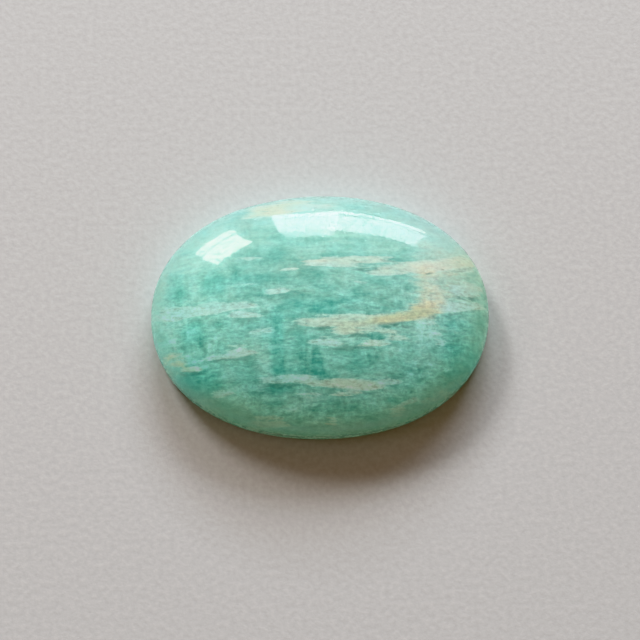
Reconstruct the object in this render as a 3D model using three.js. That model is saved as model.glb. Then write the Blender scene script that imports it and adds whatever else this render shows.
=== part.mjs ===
// An oval cabochon of amazonite: one solid stone with a domed crown, rounded shoulders, a short
// upright girdle and a flat ground base. Millimetres, +Z up. The origin is the centre of the base,
// X runs along the stone's length and Y across it.
import * as THREE from "three";

// Driving dimensions
const LENGTH = 30;
const WIDTH = 22;
const THICKNESS = 6.5;
const OUTLINE_POWER = 2.12; // 2 is a true ellipse in plan, and more is fuller between the two axes

// The stone's section across its width
const CROWN_RADIUS = 19; // the long, low arc over the top
const SHOULDER_RADIUS = 2.6; // turns the crown down into the upright girdle
const BASE_EDGE_RADIUS = 0.6; // takes the sharp edge off the ground base

// Facets
const SIDES = 96;
const CROWN_STEPS = 16;
const SHOULDER_STEPS = 7;
const BASE_EDGE_STEPS = 4;

const STONE_COLOUR = 0x6fb9a6;

// Half of the section, from the middle of the base out to the girdle and up to the crown.
// Each round stretch is a true arc that meets the next one without a crease.
function sectionPoints() {
  const halfWidth = WIDTH / 2;
  const crownCentreZ = THICKNESS - CROWN_RADIUS;
  const shoulderCentreY = halfWidth - SHOULDER_RADIUS;
  const centresApart = CROWN_RADIUS - SHOULDER_RADIUS;
  const shoulderCentreZ = crownCentreZ + Math.sqrt(centresApart ** 2 - shoulderCentreY ** 2);
  const crownStartsAt = Math.atan2(shoulderCentreZ - crownCentreZ, shoulderCentreY);

  const baseEdge = new THREE.ArcCurve(
    halfWidth - BASE_EDGE_RADIUS, BASE_EDGE_RADIUS, BASE_EDGE_RADIUS, -Math.PI / 2, 0);
  const shoulder = new THREE.ArcCurve(
    shoulderCentreY, shoulderCentreZ, SHOULDER_RADIUS, 0, crownStartsAt);
  const crown = new THREE.ArcCurve(
    0, crownCentreZ, CROWN_RADIUS, crownStartsAt, Math.PI / 2);

  const crownPoints = crown.getPoints(CROWN_STEPS).slice(1, -1);
  return [
    new THREE.Vector2(0, 0),
    ...baseEdge.getPoints(BASE_EDGE_STEPS),
    ...shoulder.getPoints(SHOULDER_STEPS),
    ...crownPoints,
    new THREE.Vector2(0, THICKNESS),
  ];
}

// How far the outline stands out beyond a true ellipse in one direction, as a ratio.
function outlineFullness(angle) {
  const across = Math.abs(Math.cos(angle)) ** OUTLINE_POWER;
  const along = Math.abs(Math.sin(angle)) ** OUTLINE_POWER;
  return (across + along) ** (-1 / OUTLINE_POWER);
}

// The section is turned about the upright axis, and each of its rings is then drawn out to the oval.
function stoneGeometry() {
  const stone = new THREE.LatheGeometry(sectionPoints(), SIDES).rotateX(Math.PI / 2);
  const position = stone.getAttribute("position");
  for (let i = 0; i < position.count; i++) {
    const fullness = outlineFullness(Math.atan2(position.getY(i), position.getX(i)));
    position.setX(i, position.getX(i) * fullness * (LENGTH / WIDTH));
    position.setY(i, position.getY(i) * fullness);
  }
  stone.computeVertexNormals();
  return stone;
}

function polishedStone() {
  return new THREE.MeshStandardMaterial({ color: STONE_COLOUR, roughness: 0.12, metalness: 0 });
}

const cabochon = new THREE.Mesh(stoneGeometry(), polishedStone());
cabochon.name = "amazonite_cabochon";

const part = new THREE.Group();
part.add(cabochon);

export default part;
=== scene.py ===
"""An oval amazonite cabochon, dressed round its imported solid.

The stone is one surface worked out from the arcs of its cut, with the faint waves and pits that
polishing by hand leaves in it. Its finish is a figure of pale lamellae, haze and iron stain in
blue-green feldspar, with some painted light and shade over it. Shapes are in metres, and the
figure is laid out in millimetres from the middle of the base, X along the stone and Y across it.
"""

import logging
import math
from dataclasses import dataclass, field
from enum import Enum
from functools import reduce

import bpy
import numpy as np
from bpy.types import Material, Node, NodeSocket as Socket, NodeTree, Object
from mathutils import Matrix, Quaternion, Vector


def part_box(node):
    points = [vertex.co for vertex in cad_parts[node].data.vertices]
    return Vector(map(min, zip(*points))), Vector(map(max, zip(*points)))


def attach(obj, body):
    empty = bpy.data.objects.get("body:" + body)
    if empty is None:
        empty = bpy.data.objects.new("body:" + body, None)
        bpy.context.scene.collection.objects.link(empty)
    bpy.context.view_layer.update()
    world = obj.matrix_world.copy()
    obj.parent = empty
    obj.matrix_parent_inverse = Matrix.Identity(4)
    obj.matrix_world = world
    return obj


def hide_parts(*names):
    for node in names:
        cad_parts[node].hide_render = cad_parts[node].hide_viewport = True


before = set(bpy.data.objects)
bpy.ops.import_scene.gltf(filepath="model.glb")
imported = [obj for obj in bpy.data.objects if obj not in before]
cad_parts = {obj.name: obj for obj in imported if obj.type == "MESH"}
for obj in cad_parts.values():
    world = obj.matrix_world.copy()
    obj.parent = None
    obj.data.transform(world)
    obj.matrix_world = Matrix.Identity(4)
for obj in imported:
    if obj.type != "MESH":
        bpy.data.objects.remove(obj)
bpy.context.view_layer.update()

MM = 0.001
PER_METRE = 1000.0

log = logging.getLogger("cabochon")

Triple = tuple[float, float, float]
Colour = Triple
Span = tuple[float, float]
Stops = tuple[tuple[float, Colour], ...]
Feed = Socket | float | tuple

# Socket types of a node group
VALUE = "NodeSocketFloat"
VECTOR = "NodeSocketVector"
COLOUR = "NodeSocketColor"


# ---- Wiring of shader nodes ----


@dataclass(frozen=True)
class Weave:
    """One kind of smooth noise, drawn out along the grain of what it lies in.

    Attributes:
        stretch: The factor on each axis. A small one draws the noise out along that axis.
        scale: Features per millimetre, before the stretch.
        detail: How many finer layers it has.
        roughness: How strong the finer layers are.
        shift: Where it is read from, so that no two weaves match.
        turn: Degrees that it is turned about Z.
    """

    stretch: Triple
    scale: float
    detail: float = 2.0
    roughness: float = 0.5
    shift: Triple = (0.0, 0.0, 0.0)
    turn: float = 0.0


class Wiring:
    """Adds nodes to one shader tree and links them, so that a pattern reads as a formula."""

    def __init__(self, tree: NodeTree) -> None:
        """Starts on an empty or a partly filled tree."""
        self.tree = tree

    def node(self, kind: str, *values: Feed, **settings: object) -> Node:
        """Adds one node.

        Args:
            kind: The node's Blender type, without its "ShaderNode" prefix.
            values: What its inputs are fed, from the first one on.
            settings: Properties of the node, by name.

        Returns:
            The new node.
        """
        node = self.tree.nodes.new("ShaderNode" + kind)
        for name, value in settings.items():
            setattr(node, name, value)
        for socket, value in zip(node.inputs, values):
            self.feed(socket, value)
        return node

    def feed(self, socket: Socket, value: Feed) -> None:
        """Links a socket to another one, or sets its own value.

        Args:
            socket: The input that is fed.
            value: An output socket, a number or a tuple.
        """
        if isinstance(value, Socket):
            self.tree.links.new(value, socket)
        elif socket.type == "RGBA" and len(value) == 3:
            socket.default_value = (*value, 1.0)
        else:
            socket.default_value = value

    def give(self, node: Node, values: dict[str, Feed]) -> None:
        """Feeds a node's inputs by name."""
        for name, value in values.items():
            self.feed(node.inputs[name], value)

    def math(self, operation: str, *values: Feed) -> Socket:
        """One step of arithmetic on numbers."""
        return self.node("Math", *values, operation=operation).outputs[0]

    def vector_math(self, operation: str, *values: Feed) -> Socket:
        """One step of arithmetic on vectors or colours."""
        return self.node("VectorMath", *values, operation=operation).outputs[0]

    def axes(self, vector: Feed) -> tuple[Socket, Socket]:
        """The X and the Y of a vector."""
        outputs = self.node("SeparateXYZ", vector).outputs
        return outputs["X"], outputs["Y"]

    def times(self, *values: Feed) -> Socket:
        """The product of two numbers or more."""
        return reduce(lambda first, second: self.math("MULTIPLY", first, second), values)

    def line(self, value: Feed, slope: Feed, start: Feed) -> Socket:
        """The value times a slope, on top of a start."""
        return self.math("MULTIPLY_ADD", value, slope, start)

    def total(self, *terms: tuple[Feed, float], start: float = 0.0) -> Socket:
        """A weighted sum: the start plus each term's value times its weight."""
        return reduce(lambda so_far, term: self.line(*term, so_far), terms, start)

    def step(self, value: Feed, span: Span) -> Socket:
        """A smooth step from 0 where the span starts to 1 where it ends. It may run downwards."""
        return self.node("MapRange", value, *span, interpolation_type="SMOOTHSTEP").outputs[0]

    def millimetres(self) -> Socket:
        """The object's own coordinates, in millimetres."""
        return self.vector_math("MULTIPLY", self.node("TexCoord").outputs["Object"], (PER_METRE,) * 3)

    def weave(self, position: Feed, weave: Weave, colour: bool = False) -> Socket:
        """Smooth noise, with its mean at a half.

        Args:
            position: Coordinates in millimetres.
            weave: The kind of noise.
            colour: Whether three independent values come out instead of one.

        Returns:
            The noise's socket.
        """
        turn = (0.0, 0.0, math.radians(weave.turn))
        placed = self.node("Mapping", position, weave.shift, turn, weave.stretch).outputs[0]
        node = self.node("TexNoise", placed, noise_dimensions="3D")
        self.give(node, {"Scale": weave.scale, "Detail": weave.detail, "Roughness": weave.roughness})
        return node.outputs["Color" if colour else "Fac"]

    def blend(self, share: Feed, first: Feed, second: Feed) -> Socket:
        """Mixes two colours.

        Args:
            share: How much of the second one shows, from 0 to 1.
            first: The colour at 0.
            second: The colour at 1.

        Returns:
            The mixed colour's socket.
        """
        node = self.node("Mix", share, data_type="RGBA", clamp_factor=True)
        first_colour, second_colour, mixed = 6, 7, 2
        self.feed(node.inputs[first_colour], first)
        self.feed(node.inputs[second_colour], second)
        return node.outputs[mixed]

    def ramp(self, value: Feed, stops: Stops) -> Socket:
        """A colour that runs through the given stops.

        Args:
            value: The place on the ramp, from 0 to 1.
            stops: Pairs of a place and its colour, in order.

        Returns:
            The colour's socket.
        """
        node = self.node("ValToRGB", value)
        elements = node.color_ramp.elements
        while len(elements) < len(stops):
            elements.new(1.0)
        for element, (place, colour) in zip(elements, stops):
            element.position = place
            element.color = (*colour, 1.0)
        return node.outputs["Color"]

    def bump(self, height: Feed, reach: float = 1.0) -> Socket:
        """The surface's normal under a height.

        Args:
            height: How far the surface stands out.
            reach: How many metres a height of 1 is.

        Returns:
            The normal's socket.
        """
        node = self.node("Bump")
        self.give(node, {"Strength": 1.0, "Distance": reach, "Height": height})
        return node.outputs["Normal"]


def new_group(name: str, inputs: dict[str, str], outputs: dict[str, str]) -> NodeTree:
    """Makes an empty shader node group with named sockets.

    Args:
        name: The group's name.
        inputs: Socket type by input name.
        outputs: Socket type by output name.

    Returns:
        The group, which has no nodes yet.
    """
    group = bpy.data.node_groups.new(name, "ShaderNodeTree")
    for direction, sockets in (("INPUT", inputs), ("OUTPUT", outputs)):
        for label, kind in sockets.items():
            group.interface.new_socket(label, in_out=direction, socket_type=kind)
    return group


# ---- The figure of the stone ----


class Tint(Enum):
    """How much iron has stained a pale streak, from none to full ochre."""

    WHITE = 0.0
    CREAM = 0.45
    BUFF = 0.7
    OCHRE = 1.0


class Edge(Enum):
    """How crisp a marking's lower edge is, as a multiple of its upper one."""

    SOFT = 1.0
    FIRM = 1.4
    CRISP = 1.8


@dataclass(frozen=True)
class Marking:
    """One lens-shaped marking in the stone, in millimetres from the middle of the base.

    Attributes:
        x: Its middle along the stone.
        y: Its middle across the stone.
        length: From tip to tip.
        width: Across its middle.
        strength: How solid it is, from 0 to 1.
        rise: Millimetres of Y gained for each one of X.
        bow: How much it curves up towards its tips, per millimetre.
        tint: Its stain.
        edge: Its lower edge, where it isn't as its row's.
    """

    x: float
    y: float
    length: float
    width: float
    strength: float = 1.0
    rise: float = 0.0
    bow: float = 0.0
    tint: Tint = Tint.WHITE
    edge: Edge | None = None


# Pale brushed streaks
STREAKS = (
    # High on the far side
    Marking(-3.6, 9.25, 8.0, 1.5, 1.0, 0.14, tint=Tint.BUFF),
    Marking(-0.4, 9.35, 5.4, 0.67, 0.75, 0.05),
    # The long streaks of the upper half, from the left
    Marking(-5.9, 4.2, 4.6, 0.34, 0.4, -0.02),
    Marking(-2.7, 2.9, 2.2, 0.34, 0.6),
    Marking(2.4, 3.72, 9.6, 0.8, 0.9, 0.05, 0.002, tint=Tint.CREAM),
    Marking(0.2, 3.35, 3.2, 0.45, 0.7, -0.02),
    Marking(3.2, 3.2, 4.6, 0.4, 0.5, 0.05, tint=Tint.CREAM),
    Marking(5.8, 2.62, 3.8, 0.45, 0.85, 0.02),
    Marking(7.2, 3.05, 6.6, 0.95, 1.0, 0.1, tint=Tint.CREAM),
    Marking(10.0, 3.5, 7.0, 1.05, 1.0, 0.17, 0.012, tint=Tint.CREAM),
    Marking(12.9, 4.2, 2.6, 1.5, 1.0, 0.2, tint=Tint.CREAM),
    Marking(13.1, 3.45, 1.6, 0.56, 0.85, 0.15),
    # Short ones between them and the stained streak
    Marking(-6.5, 1.7, 2.8, 0.39, 0.5),
    Marking(-3.7, 0.97, 2.7, 0.6, 0.8, 0.03),
    Marking(3.6, 1.75, 1.8, 0.28, 0.5),
    # The stained streak through the middle
    Marking(0.7, -1.8, 6.6, 0.9, 0.85, tint=Tint.CREAM),
    Marking(3.8, -1.72, 6.2, 1.01, 0.9, tint=Tint.CREAM),
    Marking(2.9, -2.35, 4.8, 1.23, 0.95, tint=Tint.BUFF),
    Marking(6.8, -1.45, 7.0, 0.78, 0.95, 0.12, tint=Tint.OCHRE),
    Marking(9.2, -0.6, 4.6, 1.34, 0.9, 0.16, tint=Tint.OCHRE),
    Marking(9.9, 0.5, 3.0, 2.24, 0.6, tint=Tint.CREAM, edge=Edge.SOFT),
    Marking(9.7, 1.8, 1.8, 2.91, 0.5, tint=Tint.CREAM, edge=Edge.SOFT),
    Marking(5.0, -2.62, 4.0, 0.56, 0.85, -0.03, tint=Tint.CREAM),
    Marking(6.7, -3.15, 2.8, 0.67, 0.7, -0.04, tint=Tint.CREAM),
    Marking(9.2, -1.7, 2.6, 0.67, 0.5, 0.1),
    Marking(12.4, -0.12, 5.4, 0.9, 0.9, 0.14),
    # Pale ones on the right
    Marking(12.9, 1.5, 3.6, 1.2, 1.0, 0.07),
    Marking(10.4, -3.2, 1.6, 1.23, 0.45),
    # Below the stained streak
    Marking(0.5, -3.6, 3.6, 0.67, 0.95),
    Marking(4.5, -3.72, 3.6, 0.56, 0.8, 0.02, tint=Tint.CREAM),
    # The left side
    Marking(-12.6, -0.35, 5.0, 1.1, 1.0, -0.02),
    Marking(-9.8, -0.25, 6.0, 0.9, 1.0, 0.03),
    Marking(-7.2, -0.15, 4.4, 0.65, 0.9, -0.02),
    Marking(-6.5, -1.0, 3.4, 0.6, 0.85, -0.08),
    Marking(-5.1, -2.5, 2.6, 0.7, 0.6, 0.05),
    Marking(-7.4, -3.8, 2.6, 0.56, 0.55),
    Marking(-8.6, -4.5, 4.4, 0.55, 0.9, 0.02),
    Marking(-6.7, -4.3, 3.4, 0.55, 0.95, 0.02),
    Marking(-12.7, -4.4, 2.8, 1.2, 0.6, -0.16, tint=Tint.BUFF),
    Marking(-11.3, -5.25, 2.2, 0.56, tint=Tint.CREAM),
    # The lower half
    Marking(-2.6, -6.6, 6.6, 0.65, 0.95),
    Marking(1.2, -7.0, 6.4, 0.62, 0.95, -0.02, tint=Tint.CREAM),
    Marking(3.6, -7.2, 4.8, 0.65, 0.85, 0.02, tint=Tint.CREAM),
    Marking(2.3, -7.9, 3.6, 0.42, 0.75, 0.03, tint=Tint.CREAM),
    Marking(5.9, -6.8, 2.6, 0.56, 0.9, 0.06),
    Marking(-8.5, -7.55, 2.4, 0.67, 0.6, -0.05),
    Marking(-1.2, -8.1, 3.4, 0.45, 0.5, 0.03),
    Marking(6.6, -9.2, 1.8, 0.78, 0.6, 0.1, tint=Tint.BUFF),
    Marking(7.6, -8.4, 2.2, 0.45, 0.85, 0.36),
    Marking(10.3, -7.7, 4.6, 0.67, 0.6, 0.4, tint=Tint.BUFF),
    Marking(-4.6, -10.0, 4.6, 0.9, 0.7, -0.08, tint=Tint.BUFF),
    Marking(0.8, -10.0, 1.5, 0.67, 0.6, tint=Tint.BUFF),
)

# Milky haze in the feldspar
CLOUDS = (
    Marking(-11.1, 2.0, 1.0, 4.4, 0.9),
    Marking(-13.7, 1.4, 3.0, 5.4, 0.8),
    Marking(-11.0, 4.6, 5.0, 2.4, 0.5),
    Marking(-9.3, -2.2, 1.0, 3.2, 0.5),
    Marking(-5.0, -5.3, 2.4, 4.0, 0.6),
    Marking(8.7, -5.4, 2.2, 4.6, 0.5),
    Marking(10.4, -3.2, 1.6, 2.0, 0.25),
    Marking(3.0, -7.6, 9.0, 2.6, 0.4),
    Marking(10.8, 5.2, 6.4, 3.6, 0.95, -0.3),
    Marking(2.6, -2.7, 8.0, 2.4, 0.2),
    Marking(10.6, 2.2, 6.6, 6.0, 0.9, 0.1, tint=Tint.OCHRE),
    Marking(-13.9, -1.4, 2.6, 7.0, 0.8),
    Marking(13.4, 5.6, 4.0, 3.4, 0.7, 0.1, tint=Tint.BUFF),
    Marking(2.0, 3.6, 10.0, 2.0, 0.4),
    Marking(-2.5, 8.8, 9.0, 3.4, 0.6),
)

# Where iron stain has soaked in
STAINS = (
    Marking(9.0, -0.6, 3.6, 1.4, 0.6),
    Marking(9.7, 1.1, 3.2, 4.0, 0.45),
    Marking(7.0, -1.3, 4.4, 0.9, 0.6, 0.1),
    Marking(9.2, 2.9, 2.4, 0.7, 0.5),
    Marking(-12.7, -4.6, 3.2, 1.7, 0.5),
    Marking(11.8, -6.8, 4.0, 1.3, 0.4, 0.75),
)

# Clear deep parts
DEEPS = (
    Marking(-3.7, -4.2, 1.6, 5.6, 0.95),
    Marking(-2.2, -4.9, 2.6, 3.4, 0.4),
    Marking(-0.3, -5.7, 1.4, 2.4, 0.7),
    Marking(0.7, -6.2, 2.6, 0.8, 0.5),
    Marking(0.4, -0.6, 2.8, 1.2, 0.8),
    Marking(-2.0, -0.4, 4.4, 1.4, 0.5),
    Marking(-12.7, 1.9, 2.0, 2.4, 0.5),
    Marking(-6.2, 2.4, 4.4, 2.4, 0.35),
    Marking(-9.2, 1.5, 2.6, 2.6, 0.65),
    Marking(-4.3, -3.2, 1.8, 2.4, 0.5),
    Marking(-10.6, -6.3, 4.8, 2.6, 0.8),
    Marking(12.0, -2.0, 3.6, 2.6, 0.45),
    Marking(-11.1, -2.3, 2.4, 2.0, 0.7),
    Marking(12.2, -4.9, 4.6, 3.8, 0.9),
    Marking(-3.6, -7.2, 3.6, 0.8, 0.6),
)

# Dark broken lines
SEAMS = (
    Marking(6.2, 3.8, 2.6, 0.4, 0.5, 0.08),
    Marking(4.3, 2.92, 2.8, 0.25, 0.9, 0.04),
    Marking(9.1, 2.75, 1.8, 0.22, 0.9, 0.06),
    Marking(12.2, 3.25, 2.8, 0.3, 0.6, 0.2),
    Marking(12.9, 0.75, 2.8, 0.4, 0.7, 0.06),
    Marking(-3.7, 0.45, 2.8, 0.35, 0.6),
    Marking(6.4, -2.15, 3.8, 0.5, 0.9, 0.04),
    Marking(0.6, -2.4, 2.4, 0.4, 0.8),
    Marking(3.1, -3.1, 3.6, 0.3, 0.8),
    Marking(2.4, -4.1, 5.6, 0.35, 0.7),
    Marking(10.6, -1.1, 2.6, 0.3, 0.7, 0.2),
    Marking(-6.3, -1.6, 2.8, 0.3, 0.5, -0.05),
    Marking(-11.2, -5.65, 2.4, 0.3, 0.7),
    Marking(-7.6, -4.8, 4.2, 0.3, 0.6, 0.02),
    Marking(-3.5, -7.1, 3.8, 0.7, 0.8),
)


# The ragged noises of the stone. Most are drawn out along X, as the lamellae are.
BENDS = Weave((0.5, 1.0, 0.5), 0.5)
FRAYS = Weave((0.4, 1.2, 0.5), 1.2, 2.5)
BANKS = Weave((0.7, 1.0, 0.6), 0.32, shift=(5, 5, 0))
LENSES = Weave((0.4, 1.0, 0.6), 0.95, 4.0, 0.62)
FIBRES = Weave((0.34, 1.0, 0.5), 2.2, 4.0, 0.65)
FLECKS = Weave((0.55, 1.0, 0.5), 4.0, 3.0, 0.7, shift=(6, 2, 3))
TWINS = Weave((1.0, 0.34, 0.5), 2.4, 3.0, 0.6, shift=(3, 1, 0))
TWINNED_PARTS = Weave((1.0, 1.0, 1.0), 0.3, 1.0, shift=(7, 3, 0))
VIVID_PARTS = Weave((0.5, 1.0, 0.6), 0.6, 4.0, 0.62, shift=(2, 9, 4))
WISPS = Weave((0.2, 1.0, 0.5), 1.7, 5.0, 0.62, shift=(0, 5, 2))
STRANDS = Weave((0.12, 1.0, 0.4), 2.6, 4.0, 0.62, shift=(2, 0, 4))
BLOTS = Weave((0.5, 1.0, 0.5), 1.8, 3.0, 0.6, shift=(9, 1, 0))
SEAM_BREAKS = Weave((0.35, 1.0, 0.5), 2.4, 3.0, 0.6, shift=(4, 8, 1))
SPECKS = Weave((0.3, 1.1, 0.5), 3.1, 4.0, 0.65, shift=(8, 4, 2))
NOISE_MEAN = 0.5


@dataclass
class AmazoniteFigure:
    """The colours that run right through the stone, as one node group.

    It starts from the feldspar's own colour, and each layer goes over the colour so far. The
    rim and the shading over the stone are partly painted light and shade.

    Attributes:
        marking: The group that lays one marking.
        group: The group of the whole figure, which gives its colour.
        w: The whole figure's wiring.
        given: Coordinates in millimetres, as they come in.
        bent: The same, wavering.
        ragged: The same, wavering and frayed.
        colour: The colour so far.
        x, y, x_squared, from_middle: Where a place is.
        clarity, deeps, fibre, fleck, twin, pale_share: How much of each there is at a place.
    """

    marking_inputs: tuple[str, ...] = (
        "X", "Y", "Half length", "Half width", "Rise", "Bow", "Strength", "Lip", "Stain",
        "Cover so far", "Stain so far",
    )

    # Colours, the feldspar's own from its deepest to its palest
    tones: Stops = (
        (0.0, (0.137, 0.567, 0.473)),
        (0.25, (0.210, 0.676, 0.569)),
        (0.5, (0.277, 0.772, 0.657)),
        (0.75, (0.340, 0.865, 0.754)),
        (1.0, (0.450, 0.980, 0.868)),
    )
    haze: Colour = (0.410, 0.940, 0.840)
    buff_haze: Colour = (0.560, 0.880, 0.700)
    pale: Colour = (0.535, 0.990, 0.905)
    cream: Colour = (0.620, 0.950, 0.790)
    ochre: Colour = (0.665, 0.860, 0.590)
    seam: Colour = (0.120, 0.380, 0.300)
    speck: Colour = (0.260, 0.520, 0.390)
    # Painted shade on the near rim: the body's green made darker
    near_rim_shade: Colour = (0.285, 0.610, 0.520)
    # Partly the stone's own milkiness and partly painted reflection, on the far rim
    milk_and_sheen: Colour = (0.430, 0.850, 0.790)

    # What is added to a factor of 1 on each channel, where the named part is at its fullest
    # Painted shade, partly the stone's own tone: the far side darker in green and blue
    far_painted_shade: Triple = (-0.02, -0.19, -0.19)
    # Painted light, partly the stone's own colour: the left end lighter and greener
    left_painted_light: Triple = (0.0, 0.10, 0.075)
    # Painted light, partly the stone's own colour: the right end lighter
    right_painted_light: Triple = (0.13, 0.06, 0.07)
    green_shade: Triple = (0.0, 0.0, -0.13)
    deep_shade: Triple = (-0.22, 0.0, 0.015)
    vivid_shade: Triple = (-0.6, 0.0, 0.06)
    thread_shade: Triple = (1.35, 1.0, 1.05)

    # Where the parts start and end, in millimetres along X or across it in Y
    clear_across: Span = (8.0, -4.0)
    far_across: Span = (-6.0, 4.0)
    left_along: Span = (-5.0, -12.5)
    right_along: Span = (5.5, 11.0)
    right_across: Span = (-7.0, -2.5)
    near_rim_shade_across: Span = (-3.5, -7.5)
    milk_and_sheen_across: Span = (1.0, 6.0)
    green_slant: Span = (-2.0, 5.0)

    # Half of the length and of the width in millimetres, and where the parts start and end
    # between the middle, at 0, and the outline, at 1
    half_axes: tuple[float, float] = (15.0, 11.0)
    inner_part: Span = (1.05, 0.7)
    near_rim_shade_part: Span = (0.72, 1.0)
    milk_and_sheen_rim: Span = (0.4, 1.0)
    green_rim: Span = (0.5, 1.0)

    # How far the markings bend and fray, in millimetres
    bend: float = 0.25
    fray: float = 0.16

    def __post_init__(self) -> None:
        """Builds the groups, once."""
        self.marking = self.marking_group()
        self.group = new_group("amazonite_figure", {"Position": VECTOR}, {"Color": COLOUR})
        self.w = Wiring(self.group)
        self.given = self.group.nodes.new("NodeGroupInput").outputs["Position"]
        self.bent = self.warp(self.given, BENDS, self.bend)
        self.ragged = self.warp(self.bent, FRAYS, self.fray)
        self.measure()
        self.colour = self.feldspar()
        self.lay_haze()
        self.lay_streaks()
        self.lay_stains()
        self.lay_seams()
        self.lay_rim()
        self.shade()
        out = self.group.nodes.new("NodeGroupOutput")
        self.w.feed(out.inputs["Color"], self.colour)

    def cover(self, share: Feed, colour: Feed) -> None:
        """Lays a colour over the one so far."""
        self.colour = self.w.blend(share, self.colour, colour)

    def marking_group(self) -> NodeTree:
        """Builds the group that lays one lens-shaped marking over those before it.

        Along the lens u runs from -1 to 1, and across it v is the distance from a bowed middle
        line in half widths. The field is 1 - u squared / 2 - |v|, and below the middle line it is
        multiplied by the lip, so that the lower edge is the crisper one. The cover is a smooth
        step of the field that fades out towards both tips.

        Returns:
            The group.
        """
        tips = (1.2, 0.4)
        edge = (-0.9, 0.7)
        inputs = dict.fromkeys(self.marking_inputs, VALUE)
        group = new_group("stone_marking", inputs, {"Cover": VALUE, "Stain": VALUE})
        w = Wiring(group)
        get = group.nodes.new("NodeGroupInput").outputs
        u = w.math("DIVIDE", get["X"], get["Half length"])
        middle = w.times(get["X"], w.line(get["X"], get["Bow"], get["Rise"]))
        v = w.math("DIVIDE", w.math("SUBTRACT", get["Y"], middle), get["Half width"])
        bulge = w.line(w.times(u, u), -0.5, 1.0)
        field = w.math("SUBTRACT", bulge, w.math("ABSOLUTE", v))
        weight = w.times(w.step(w.math("ABSOLUTE", u), tips), get["Strength"])
        is_below = w.math("LESS_THAN", v, 0.0)
        crispness = w.line(is_below, w.math("SUBTRACT", get["Lip"], 1.0), 1.0)
        cover = w.times(w.step(w.times(field, crispness), edge), weight)
        open_before = w.math("SUBTRACT", 1.0, get["Cover so far"])
        change = w.math("SUBTRACT", get["Stain"], get["Stain so far"])
        out = group.nodes.new("NodeGroupOutput")
        w.give(out, {
            "Cover": w.line(cover, open_before, get["Cover so far"]),
            "Stain": w.line(change, cover, get["Stain so far"]),
        })
        return group

    def lay(self, position: Feed, markings: tuple[Marking, ...], edge: Edge) -> Node:
        """Lays a row of markings, each over those before it.

        Args:
            position: Coordinates in millimetres.
            markings: The markings, in order.
            edge: The lower edge of those that don't say theirs.

        Returns:
            The last marking's node, whose outputs hold the whole row.
        """
        w = self.w
        last = None
        x, y = w.axes(position)
        for marking in markings:
            along = w.math("SUBTRACT", x, marking.x)
            across = w.math("SUBTRACT", y, marking.y)
            lip = (marking.edge or edge).value
            so_far = last.outputs if last else ()
            shape = (marking.length / 2, marking.width / 2, marking.rise, marking.bow, marking.strength)
            last = w.node("Group", along, across, *shape, lip, marking.tint.value, *so_far,
                          node_tree=self.marking)
        return last

    def warp(self, position: Feed, weave: Weave, reach: float) -> Socket:
        """Pushes coordinates about in X and Y by noise, so that what follows wavers.

        Args:
            position: Coordinates in millimetres.
            weave: The noise that pushes them.
            reach: The furthest that a point moves, about.

        Returns:
            The moved coordinates.
        """
        push = self.w.vector_math("SUBTRACT", self.w.weave(position, weave, colour=True), (NOISE_MEAN,) * 3)
        return self.w.vector_math("MULTIPLY_ADD", push, (reach * 2, reach * 2, 0.0), position)

    def measure(self) -> None:
        """Works out what several of the layers read.

        The distance from the middle is X squared / half length squared + Y squared / half width
        squared. The texture is clear on the near side and within the outline, and sinks into
        milkiness past them. The fibres, flecks and twins are noise about 0, times that clarity.
        """
        w = self.w
        self.x, self.y = w.axes(self.given)
        self.x_squared, y_squared = w.axes(w.vector_math("MULTIPLY", self.given, self.given))
        length, width = self.half_axes
        self.from_middle = w.total((self.x_squared, 1 / length ** 2), (y_squared, 1 / width ** 2))
        near_side = w.step(self.y, self.clear_across)
        inner = w.step(self.from_middle, self.inner_part)
        self.clarity = w.times(w.line(near_side, 0.65, 0.4), w.line(inner, 0.75, 0.25))
        self.deeps = self.lay(self.bent, DEEPS, Edge.SOFT).outputs["Cover"]
        least, twinned_from = 0.15, (0.4, 0.6)
        twinned = w.step(w.weave(self.given, TWINNED_PARTS), twinned_from)
        twinned = w.math("MAXIMUM", twinned, w.math("MAXIMUM", self.deeps, least))
        self.fibre = w.times(self.about_nothing(FIBRES), self.clarity)
        self.fleck = w.times(self.about_nothing(FLECKS), self.clarity)
        self.twin = w.times(self.about_nothing(TWINS), w.times(twinned, self.clarity))

    def about_nothing(self, weave: Weave) -> Socket:
        """Noise in the ragged coordinates, with its mean taken off."""
        return self.w.math("SUBTRACT", self.w.weave(self.ragged, weave), NOISE_MEAN)

    def feldspar(self) -> Socket:
        """Mixes the stone's own tone: soft banks, lenses and fibres along it, twins across them.

        Returns:
            The colour's socket.
        """
        banks_share, lenses_share, paler_ends = 0.6, 1.45, 0.0017
        start = 0.47 - NOISE_MEAN * (banks_share + lenses_share)
        tone = self.w.total(
            (self.w.weave(self.bent, BANKS), banks_share),
            (self.w.weave(self.bent, LENSES), lenses_share),
            (self.fibre, 1.0),
            (self.twin, 0.9),
            (self.deeps, -0.32),
            (self.x_squared, paler_ends),
            start=start,
        )
        return self.w.ramp(tone, self.tones)

    def lay_haze(self) -> None:
        """Lays the milky clouds, and the fine pale wisps in them and between them."""
        w = self.w
        wisp, veiled, thickest = (0.48, 0.64), (0.0, 1.1), 0.85
        clouds = self.lay(self.bent, CLOUDS, Edge.SOFT)
        wisps = w.times(w.step(w.weave(self.ragged, WISPS), wisp), self.clarity)
        veil = w.total((clouds.outputs["Cover"], 0.75), (wisps, 0.65), start=-0.1)
        milky = w.ramp(clouds.outputs["Stain"], ((0.0, self.haze), (1.0, self.buff_haze)))
        self.cover(w.times(w.step(veil, veiled), thickest), milky)

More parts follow.
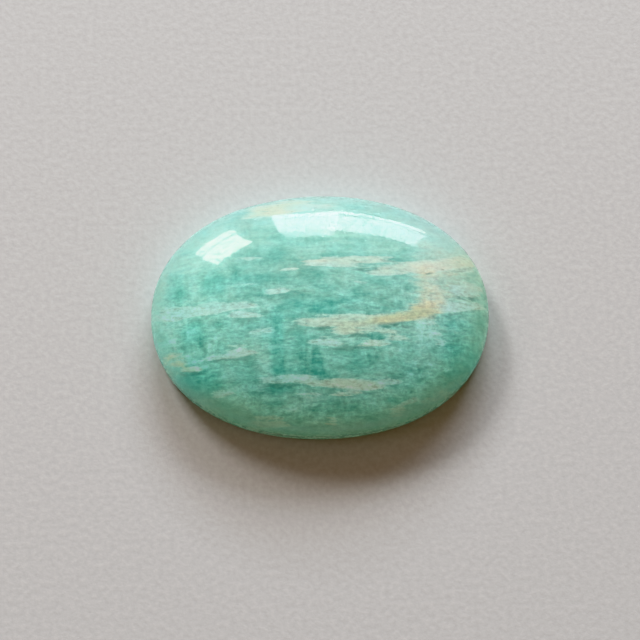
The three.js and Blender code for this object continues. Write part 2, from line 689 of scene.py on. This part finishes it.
    def lay_streaks(self) -> None:
        """Lays the pale streaks, frayed along their strands, and notes how much they cover."""
        w = self.w
        edge, tips, strands_share, thickest = (-0.05, 1.1), (0.0, 0.3), 4.4, 0.97
        streaks = self.lay(self.ragged, STREAKS, Edge.CRISP)
        cover = streaks.outputs["Cover"]
        field = w.total(
            (cover, 1.9),
            (w.weave(self.bent, STRANDS), strands_share),
            (self.fleck, 1.2),
            start=-0.5 - NOISE_MEAN * strands_share,
        )
        self.pale_share = w.times(w.step(field, edge), w.step(cover, tips))
        tints = ((0.0, self.pale), (0.6, self.cream), (1.0, self.ochre))
        tinted = w.ramp(streaks.outputs["Stain"], tints)
        self.cover(w.times(self.pale_share, thickest), tinted)

    def lay_stains(self) -> None:
        """Soaks iron stain into the stone in blots, most of it in the streaks."""
        w = self.w
        edge, blots_share = (0.1, 1.1), 1.4
        stains = self.lay(self.bent, STAINS, Edge.SOFT).outputs["Cover"]
        blots = w.weave(self.ragged, BLOTS)
        field = w.total((stains, 1.0), (blots, blots_share), start=-NOISE_MEAN * blots_share)
        self.cover(w.times(w.step(field, edge), w.line(self.pale_share, 0.4, 0.5)), self.ochre)

    def lay_seams(self) -> None:
        """Lays the dark broken seams between the streaks, and small dark flecks in the streaks."""
        w = self.w
        whole, speck, darkest_seam, darkest_speck = (0.38, 0.56), (0.56, 0.7), 0.8, 0.55
        cover = self.lay(self.ragged, SEAMS, Edge.FIRM).outputs["Cover"]
        unbroken = w.step(w.weave(self.ragged, SEAM_BREAKS), whole)
        self.cover(w.times(cover, unbroken, darkest_seam), self.seam)
        specks = w.step(w.weave(self.ragged, SPECKS), speck)
        self.cover(w.times(specks, w.times(self.pale_share, darkest_speck)), self.speck)

    def lay_rim(self) -> None:
        """Paints shade on the near rim; the far rim turns milky, partly a painted reflection."""
        w = self.w
        most_near_rim_shade, most_milk_and_sheen, less_in_streaks = 0.85, 0.75, -0.55
        # Painted shade: the rim darkened on the near side
        near_rim_shaded = w.times(w.step(self.from_middle, self.near_rim_shade_part), w.step(self.y, self.near_rim_shade_across))
        # Partly painted reflection: the far rim paler, partly the stone's own milkiness
        milky = w.times(w.step(self.from_middle, self.milk_and_sheen_rim), w.step(self.y, self.milk_and_sheen_across))
        self.cover(w.times(near_rim_shaded, most_near_rim_shade), self.near_rim_shade)
        self.cover(w.times(milky, w.line(self.pale_share, less_in_streaks, most_milk_and_sheen)), self.milk_and_sheen)

    def shade(self) -> None:
        """Multiplies the colour by a factor that drifts over the stone and follows its threads.

        The factor is 1 plus, for each part, how much of it there is times its shade. The far,
        left and right parts are partly painted light and shade: darker on the far side and lighter
        towards the left and the right ends, on top of the stone's own colour.
        """
        w = self.w
        slant = w.total((self.x, 0.6), (self.y, -1.0))
        right = w.times(w.step(self.x, self.right_along), w.step(self.y, self.right_across))
        greener = w.times(w.step(self.from_middle, self.green_rim), w.step(slant, self.green_slant))
        vivid = w.math("SUBTRACT", w.weave(self.bent, VIVID_PARTS), NOISE_MEAN)
        thread = w.total((self.fibre, 0.4), (self.fleck, 0.9), (self.twin, 0.35))
        factor: Feed = (1.0, 1.0, 1.0)
        for amount, shade in (
            # The first three parts are partly painted light and shade
            (w.step(self.y, self.far_across), self.far_painted_shade),
            (w.step(self.x, self.left_along), self.left_painted_light),
            (right, self.right_painted_light),
            (greener, self.green_shade),
            (self.deeps, self.deep_shade),
            (vivid, self.vivid_shade),
            (thread, self.thread_shade),
        ):
            factor = w.vector_math("MULTIPLY_ADD", amount, shade, factor)
        self.colour = w.vector_math("MULTIPLY", self.colour, factor)


# What the last polish and the grinding leave on the surface
PATCHES = Weave((0.6, 1.0, 0.8), 0.55, 3.0, 0.6, shift=(1, 2, 3))
BLOTCHES = Weave((0.8, 1.0, 1.0), 1.9, 4.0, 0.7, shift=(4, 1, 0))
POLISHING_DOTS = Weave((0.9, 1.1, 1.0), 4.6, 2.0, 0.6)
SCRATCHES = Weave((0.25, 6.0, 1.0), 3.0, 2.0, 0.6, turn=24.0)
PITS = Weave((0.8, 1.0, 1.0), 4.6, 1.0, 0.5)


@dataclass(frozen=True)
class StoneFinish:
    """One finish of the stone: its figure under a polished or a ground surface.

    Attributes:
        name: The material's name.
        gloss: The roughness where it is smoothest.
        haze: How much rougher it gets in patches.
        polish: How much of the last, mirror-like polish it has, from 0 to 1.
        scratches: How deep the fine scratches are, in metres.
        pits: How deep the pits are, in metres.
        coat_index: The refractive index of the polished skin.
        coat_roughness: The roughness of the polished skin.
        index: The refractive index of feldspar.
        sheen: How much shine the stone has under its polished skin.
        depth: How far light soaks into the stone, in metres.
        soaking: How far each colour goes, as a share of that.
    """

    name: str
    gloss: float
    haze: float
    polish: float
    scratches: float
    pits: float
    coat_index: float = 1.6
    coat_roughness: float = 0.04
    index: float = 1.53
    sheen: float = 0.06
    depth: float = 42.0 * MM
    soaking: Colour = (1.0, 1.0, 0.9)

    def mirror(self, w: Wiring, millimetres: Socket, dull: Socket) -> Socket:
        """How much of the polished skin there is: less in dull patches, dots and worn places.

        Args:
            w: The material's tree.
            millimetres: Coordinates in millimetres.
            dull: Where it is dull, from 0 to 1.

        Returns:
            The share's socket.
        """
        fresh_along, worn_along, dot = (8.0, 0.0), (-4.5, -7.5), (0.54, 0.62)
        x, _ = w.axes(millimetres)
        dots = w.step(w.weave(millimetres, POLISHING_DOTS), dot)
        return w.times(
            w.line(dull, -0.4, 1.0),
            w.line(w.step(x, fresh_along), 0.4, 0.6),
            w.line(w.step(x, worn_along), -0.4, 1.0),
            w.line(dots, -0.75, 1.0),
            self.polish,
        )

    def material(self, figure: AmazoniteFigure) -> Material:
        """Makes the material.

        Args:
            figure: The figure that runs through the stone.

        Returns:
            The material.
        """
        material = bpy.data.materials.new(self.name)
        material.use_nodes = True
        w = Wiring(material.node_tree)
        shader = material.node_tree.nodes["Principled BSDF"]
        millimetres = w.millimetres()
        pattern = w.node("Group", millimetres, node_tree=figure.group)

        dull_edge, blotches_share, pit_edge = (0.36, 0.66), 2.2, (0.64, 0.74)
        patches, blotches = w.weave(millimetres, PATCHES), w.weave(millimetres, BLOTCHES)
        uneven = w.total((patches, 1.0), (blotches, blotches_share), start=-NOISE_MEAN * blotches_share)
        dull = w.step(uneven, dull_edge)
        pits = w.step(w.weave(millimetres, PITS), pit_edge)
        normal = w.bump(w.total((w.weave(millimetres, SCRATCHES), self.scratches), (pits, -self.pits)))

        shader.subsurface_method = "BURLEY"
        w.give(shader, {
            "Base Color": pattern.outputs["Color"],
            "Roughness": w.line(dull, self.haze, self.gloss),
            "IOR": self.index,
            "Specular IOR Level": self.sheen,
            "Normal": normal,
            "Subsurface Weight": 1.0,
            "Subsurface Radius": self.soaking,
            "Subsurface Scale": self.depth,
            "Coat Weight": self.mirror(w, millimetres, dull) if self.polish else 0.0,
            "Coat Roughness": self.coat_roughness,
            "Coat IOR": self.coat_index,
            "Coat Normal": normal,
        })
        return material


POLISHED = StoneFinish("polished_amazonite", gloss=0.2, haze=0.12, polish=0.92,
                       scratches=0.0004 * MM, pits=0.004 * MM)
GROUND = StoneFinish("ground_amazonite", gloss=0.42, haze=0.16, polish=0.0,
                     scratches=0.006 * MM, pits=0.02 * MM)


# ---- The stone ----


@dataclass
class Cabochon:
    """The cut stone, as one closed surface.

    Attributes:
        node: The solid that this surface stands for.
        name: The name of the piece.
        outline_power: The power of the outline: 2 is an ellipse, and more is fuller.
        crown_radius: The long arc over the top, seen along the stone.
        shoulder_radius: The arc that turns the crown down into the girdle.
        base_edge_radius: The arc between the girdle and the base.
        columns: Points round the stone.
        rows: Rows of points on the base, its edge, the girdle, the shoulder and the crown.
        wave_height: How far the longest wave of the polish stands out.
        wave_lengths: The shortest and the longest wave.
        wave_count: How many lengths of wave there are.
        wave_start: The most that a wave starts into its turn, in radians.
        pit_count: How many shallow pits it has.
        pit_radii: The smallest and the largest pit's radius.
        pit_depths: The shallowest and the deepest pit.
        smooth_height: How high above the base the waves and pits begin.
        fade_height: How far above that they take to reach their full depth.
        seed: What the waves and pits are drawn from.
        low: The solid's lowest corner.
        high: Its highest corner.
    """

    node: str = "amazonite_cabochon"
    name: str = "polished_stone"
    outline_power: float = 2.12
    crown_radius: float = 19.0 * MM
    shoulder_radius: float = 2.6 * MM
    base_edge_radius: float = 0.6 * MM
    columns: int = 448
    rows: tuple[int, ...] = (22, 8, 6, 44, 134)
    wave_height: float = 0.008 * MM
    wave_lengths: Span = (4.0 * MM, 14.0 * MM)
    wave_count: int = 9
    wave_start: float = 6.28
    pit_count: int = 46
    pit_radii: Span = (0.14 * MM, 0.26 * MM)
    pit_depths: Span = (0.006 * MM, 0.02 * MM)
    smooth_height: float = 1.0 * MM
    fade_height: float = 1.5 * MM
    seed: int = 11
    low: Vector = field(init=False)
    high: Vector = field(init=False)

    def __post_init__(self) -> None:
        """Reads the solid's own box."""
        self.low, self.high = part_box(self.node)

    @property
    def half_length(self) -> float:
        """Half of the stone's length."""
        return (self.high.x - self.low.x) / 2

    @property
    def half_width(self) -> float:
        """Half of the stone's width."""
        return (self.high.y - self.low.y) / 2

    @property
    def thickness(self) -> float:
        """From the base to the top of the crown."""
        return self.high.z - self.low.z

    def section(self) -> tuple[np.ndarray, np.ndarray]:
        """The section across the stone, from beside the middle of the base to beside the top.

        It is a straight base, an arc round the base's edge, the upright girdle, the shoulder's
        arc and the crown's arc, each meeting the next without a crease.

        Returns:
            How far out each point is across the stone, and how high.
        """
        crown_middle = self.thickness - self.crown_radius
        shoulder_out = self.half_width - self.shoulder_radius
        apart = self.crown_radius - self.shoulder_radius
        shoulder_middle = crown_middle + math.sqrt(apart ** 2 - shoulder_out ** 2)
        turn = math.atan2(shoulder_middle - crown_middle, shoulder_out)
        edge = self.base_edge_radius

        base_rows, edge_rows, girdle_rows, shoulder_rows, crown_rows = self.rows
        flat = np.linspace(0, self.half_width - edge, base_rows + 1)[1:]
        around = np.linspace(-math.pi / 2, 0, edge_rows + 1)[1:]
        upright = np.linspace(edge, shoulder_middle, girdle_rows + 1)[1:]
        over = np.linspace(0, turn, shoulder_rows + 1)[1:]
        top = np.linspace(turn, math.pi / 2, crown_rows + 1)[1:-1]

        out = np.concatenate([
            flat,
            self.half_width - edge + edge * np.cos(around),
            np.full(girdle_rows, self.half_width),
            shoulder_out + self.shoulder_radius * np.cos(over),
            self.crown_radius * np.cos(top),
        ])
        up = np.concatenate([
            np.zeros(base_rows),
            edge + edge * np.sin(around),
            upright,
            shoulder_middle + self.shoulder_radius * np.sin(over),
            crown_middle + self.crown_radius * np.sin(top),
        ])
        return out, up

    def grid(self) -> np.ndarray:
        """The cut's surface as a grid of rows round the stone.

        A point at angle a is out * (|cos a|^p + |sin a|^p)^(-1/p) * (cos a * length / width,
        sin a), where p is the outline's power and out and the height come from the section.

        Returns:
            Points in metres, by row, column and axis.
        """
        out, up = self.section()
        angle = np.linspace(0, 2 * math.pi, self.columns, endpoint=False)
        power = self.outline_power
        fullness = (np.abs(np.cos(angle)) ** power + np.abs(np.sin(angle)) ** power) ** (-1 / power)
        x = np.outer(out, fullness * np.cos(angle)) * self.half_length / self.half_width
        y = np.outer(out, fullness * np.sin(angle))
        z = np.repeat(up[:, None], self.columns, axis=1)
        return np.stack([x, y, z], axis=-1)

    def outward(self, points: np.ndarray) -> np.ndarray:
        """The outward unit normal at each point of the grid.

        It is the cross product of the steps along the row and up the column.

        Args:
            points: The grid.

        Returns:
            One unit vector for each point.
        """
        along = np.roll(points, -1, axis=1) - np.roll(points, 1, axis=1)
        upward = np.gradient(points, axis=0)
        normal = np.cross(along, upward)
        return normal / np.linalg.norm(normal, axis=-1, keepdims=True)

    def relief(self, points: np.ndarray) -> np.ndarray:
        """How far the polished surface stands out from the cut at each point.

        It is a sum of sine waves in all directions, each one's height in proportion to its
        length, less a round pit, depth * exp(-(d / radius)^2), at each of a few dozen places. A
        smooth step in height, t * t * (3 - 2 * t), leaves the girdle plain.

        Args:
            points: The grid.

        Returns:
            Metres outwards, by row and column.
        """
        draw = np.random.default_rng(self.seed)
        shortest, longest = self.wave_lengths
        waves = np.zeros(points.shape[:2])
        for length in np.geomspace(shortest, longest, self.wave_count):
            heading = draw.normal(size=3)
            heading *= 2 * math.pi / length / np.linalg.norm(heading)
            start = draw.uniform(0, self.wave_start)
            waves += self.wave_height * (length / longest) * np.sin(points @ heading + start)

        pits = np.zeros(points.shape[:2])
        girdle_top = sum(self.rows[:3])
        rows = draw.integers(girdle_top, points.shape[0], self.pit_count)
        columns = draw.integers(0, self.columns, self.pit_count)
        for row, column in zip(rows, columns):
            radius = draw.uniform(*self.pit_radii)
            depth = draw.uniform(*self.pit_depths)
            away = np.linalg.norm(points - points[row, column], axis=-1)
            pits += depth * np.exp(-(away / radius) ** 2)
        fade = np.clip((points[..., 2] - self.smooth_height) / self.fade_height, 0, 1)
        return (waves - pits) * fade * fade * (3 - 2 * fade)

    def faces(self, rows: int) -> tuple[np.ndarray, np.ndarray, np.ndarray]:
        """The faces over the grid, turned outwards.

        Args:
            rows: How many rows the grid has.

        Returns:
            The squares between the rows, the triangles round the middle of the base, and those
            round the top, as numbers of points. The two poles come after the grid's own points.
        """
        index = np.arange(rows * self.columns).reshape(rows, self.columns)
        after = np.roll(index, -1, axis=1)
        squares = np.stack([index[:-1], after[:-1], after[1:], index[1:]], axis=-1).reshape(-1, 4)
        base = np.full(self.columns, rows * self.columns)
        top = base + 1
        base_fan = np.stack([base, after[0], index[0]], axis=-1)
        top_fan = np.stack([index[-1], after[-1], top], axis=-1)
        return squares, base_fan, top_fan

    def build(self) -> Object:
        """Makes the stone's mesh, closed at both poles.

        Returns:
            The stone's object, at the origin.
        """
        points = self.grid()
        points = points + self.outward(points) * self.relief(points)[..., None]
        top = points[-1].mean(axis=0)
        top[2] = self.thickness
        vertices = np.concatenate([points.reshape(-1, 3), [[0.0, 0.0, 0.0]], [top]])
        vertices += (self.low.x + self.half_length, self.low.y + self.half_width, self.low.z)
        squares, base_fan, top_fan = self.faces(points.shape[0])
        mesh = bpy.data.meshes.new(self.name)
        mesh.from_pydata(vertices.tolist(), [], squares.tolist() + base_fan.tolist() + top_fan.tolist())
        mesh.polygons.foreach_set("use_smooth", np.ones(len(mesh.polygons), bool))
        ground = np.zeros(len(mesh.polygons), np.int32)
        ground[:(self.rows[0] - 1) * self.columns] = 1
        ground[len(squares):len(squares) + len(base_fan)] = 1
        mesh.polygons.foreach_set("material_index", ground)
        mesh.update()
        stone = bpy.data.objects.new(self.name, mesh)
        bpy.context.scene.collection.objects.link(stone)
        return stone

    def dress(self, stone: Object) -> None:
        """Gives the crown its polish and the base its ground finish.

        Args:
            stone: The stone's object.
        """
        figure = AmazoniteFigure()
        for finish in (POLISHED, GROUND):
            stone.data.materials.append(finish.material(figure))

    def finished(self) -> Object:
        """Builds and dresses the stone and puts it in the frame.

        Returns:
            The stone's object.
        """
        stone = self.build()
        self.dress(stone)
        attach(stone, "root")
        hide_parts(self.node)
        return stone


# ---- The studio ----


DAYLIGHT = (0.95, 1.0, 1.044)
LATE_LIGHT = (1.054, 1.0, 0.954)
PAPER_TOOTH = Weave((1.0, 1.0, 1.0), 2.1, 2.0, 0.55)


@dataclass(frozen=True)
class SoftPanel:
    """A square-cornered soft light that faces the stone.

    Attributes:
        name: The light's name.
        azimuth: Degrees round from +X towards +Y.
        elevation: Degrees above the floor.
        spread: Degrees that it covers from side to side.
        rise: Degrees that it covers from bottom to top.
        radiance: How bright its face is, where 1 is a white surface in full light.
        lean: Degrees that its right side is raised, seen from the stone.
        distance: From the middle of the stone, in metres.
        colour: Its light's colour.
    """

    name: str
    azimuth: float
    elevation: float
    spread: float
    rise: float
    radiance: float
    lean: float = 0.0
    distance: float = 0.9
    colour: Colour = (1.0, 0.985, 0.965)

    def side(self, angle: float) -> float:
        """How long a side is that covers so many degrees, in metres."""
        return 2 * self.distance * math.tan(math.radians(angle / 2))

    def build(self, target: Vector) -> Object:
        """Sets the light up.

        Args:
            target: What it faces.

        Returns:
            The light's object.
        """
        azimuth, elevation = math.radians(self.azimuth), math.radians(self.elevation)
        level = math.cos(elevation)
        away = Vector((level * math.cos(azimuth), level * math.sin(azimuth), math.sin(elevation)))
        light = bpy.data.lights.new(self.name, "AREA")
        light.shape = "RECTANGLE"
        light.size = self.side(self.spread)
        light.size_y = self.side(self.rise)
        light.energy = math.pi * light.size * light.size_y * self.radiance
        light.color = self.colour
        holder = bpy.data.objects.new(self.name, light)
        leaned = Quaternion((0.0, 0.0, 1.0), -math.radians(self.lean))
        turn = away.to_track_quat("Z", "Y") @ leaned
        holder.matrix_world = Matrix.LocRotScale(target + away * self.distance, turn, None)
        holder.visible_camera = False
        bpy.context.scene.collection.objects.link(holder)
        return holder


@dataclass
class Studio:
    """The floor, the lights and the camera round the stone.

    Attributes:
        floor_half: Half of the floor's side, in metres.
        floor_tooth: How far the paper's fibres stand up, in metres.
        floor_gloss: The paper's roughness.
        floor_sheen: How much shine the paper has.
        floor_tones: The paper's darker and paler tone, and where on its weave each one lies.
        camera_lens: The focal length, in millimetres.
        camera_sensor: The sensor's width, in millimetres.
        camera_distance: From the lens to what it looks at, in metres.
        camera_tilt: Degrees that it leans back from straight above.
        camera_roll: Degrees that it turns about its own line of sight.
        camera_reach: The nearest and the furthest that it sees, in metres.
        look_at: What the camera looks at.
        lit_point: What the panels face.
        fill: The faint light from all round.
        panels: The lights.
    """

    floor_half: float = 1.5
    floor_tooth: float = 0.02 * MM
    floor_gloss: float = 0.9
    floor_sheen: float = 0.2
    floor_tones: Stops = ((0.3, (0.527, 0.548, 0.572)), (0.7, (0.587, 0.612, 0.636)))
    camera_lens: float = 100.0
    camera_sensor: float = 36.0
    camera_distance: float = 157.2 * MM
    camera_tilt: float = 15.0
    camera_roll: float = 0.82
    camera_reach: Span = (0.01, 20.0)
    look_at: Triple = (0.0, -0.628 * MM, 2.332 * MM)
    lit_point: Triple = (0.0, 0.0, 2.0 * MM)
    fill: Colour = (0.260, 0.176, 0.112)
    panels: tuple[SoftPanel, ...] = (
        SoftPanel("near_sill", 93.0, 18.2, 13.4, 2.4, 35.5, colour=DAYLIGHT),
        SoftPanel("near_pane", 93.0, 24.9, 13.4, 10.2, 20.0, colour=DAYLIGHT),
        SoftPanel("near_head", 93.0, 32.2, 12.0, 3.6, 10.5, colour=DAYLIGHT),
        SoftPanel("far_pane", 73.2, 26.4, 25.6, 10.6, 19.0, lean=5.0, colour=DAYLIGHT),
        SoftPanel("far_sill", 73.6, 19.3, 24.6, 1.4, 44.0, lean=8.0, colour=DAYLIGHT),
        SoftPanel("side_pane", 120.4, 32.1, 15.6, 8.6, 35.5, lean=-15.0, colour=LATE_LIGHT),
        SoftPanel("side_sill", 120.4, 25.3, 15.6, 2.8, 34.0, lean=-15.0, colour=LATE_LIGHT),
        SoftPanel("left_gap", 176.5, 35.0, 17.0, 3.0, 11.0, lean=-20.0),
        SoftPanel("right_gap", -18.4, 29.4, 8.0, 2.4, 8.0, lean=18.0),
    )

    def floor(self) -> Object:
        """Lays the pale paper that the stone rests on.

        Returns:
            The floor's object.
        """
        half = self.floor_half
        corners = [(-half, -half, 0.0), (half, -half, 0.0), (half, half, 0.0), (-half, half, 0.0)]
        mesh = bpy.data.meshes.new("floor")
        mesh.from_pydata(corners, [], [(0, 1, 2, 3)])
        floor = bpy.data.objects.new("floor", mesh)
        bpy.context.scene.collection.objects.link(floor)
        floor.data.materials.append(self.paper())
        return floor

    def paper(self) -> Material:
        """Makes the floor's finish, a pale uncoated paper with a fine tooth.

        Returns:
            The material.
        """
        material = bpy.data.materials.new("pale_paper")
        material.use_nodes = True
        w = Wiring(material.node_tree)
        shader = material.node_tree.nodes["Principled BSDF"]
        tooth = w.weave(w.millimetres(), PAPER_TOOTH)
        w.give(shader, {
            "Base Color": w.ramp(tooth, self.floor_tones),
            "Roughness": self.floor_gloss,
            "Specular IOR Level": self.floor_sheen,
            "Normal": w.bump(tooth, self.floor_tooth),
        })
        return material

    def lights(self) -> None:
        """Sets up the panels and the faint light from all round."""
        for panel in self.panels:
            panel.build(Vector(self.lit_point))
        world = bpy.data.worlds.new("studio")
        world.use_nodes = True
        background = world.node_tree.nodes["Background"]
        background.inputs["Color"].default_value = (*self.fill, 1.0)
        bpy.context.scene.world = world

    def camera(self) -> Object:
        """Sets the camera up above the near side of the stone.

        Returns:
            The camera's object.
        """
        lens = bpy.data.cameras.new("camera")
        lens.lens = self.camera_lens
        lens.sensor_width = self.camera_sensor
        lens.clip_start, lens.clip_end = self.camera_reach
        camera = bpy.data.objects.new("camera", lens)
        tilt = Matrix.Rotation(math.radians(self.camera_tilt), 4, "X")
        roll = Matrix.Rotation(-math.radians(self.camera_roll), 4, "Z")
        back = Matrix.Translation((0.0, 0.0, self.camera_distance))
        camera.matrix_world = Matrix.Translation(self.look_at) @ tilt @ roll @ back
        bpy.context.scene.collection.objects.link(camera)
        bpy.context.scene.camera = camera
        return camera

    def build(self) -> None:
        """Sets up the whole studio."""
        self.floor()
        self.lights()
        self.camera()
        bpy.context.scene.view_settings.view_transform = "Khronos PBR Neutral"


def main() -> None:
    """Builds the stone and its studio."""
    logging.basicConfig(level=logging.INFO, format="%(message)s")
    stone = Cabochon().finished()
    log.info("%s: %d faces", stone.name, len(stone.data.polygons))
    Studio().build()
    log.info("studio: floor, lights and camera")


if __name__ == "__main__":
    main()
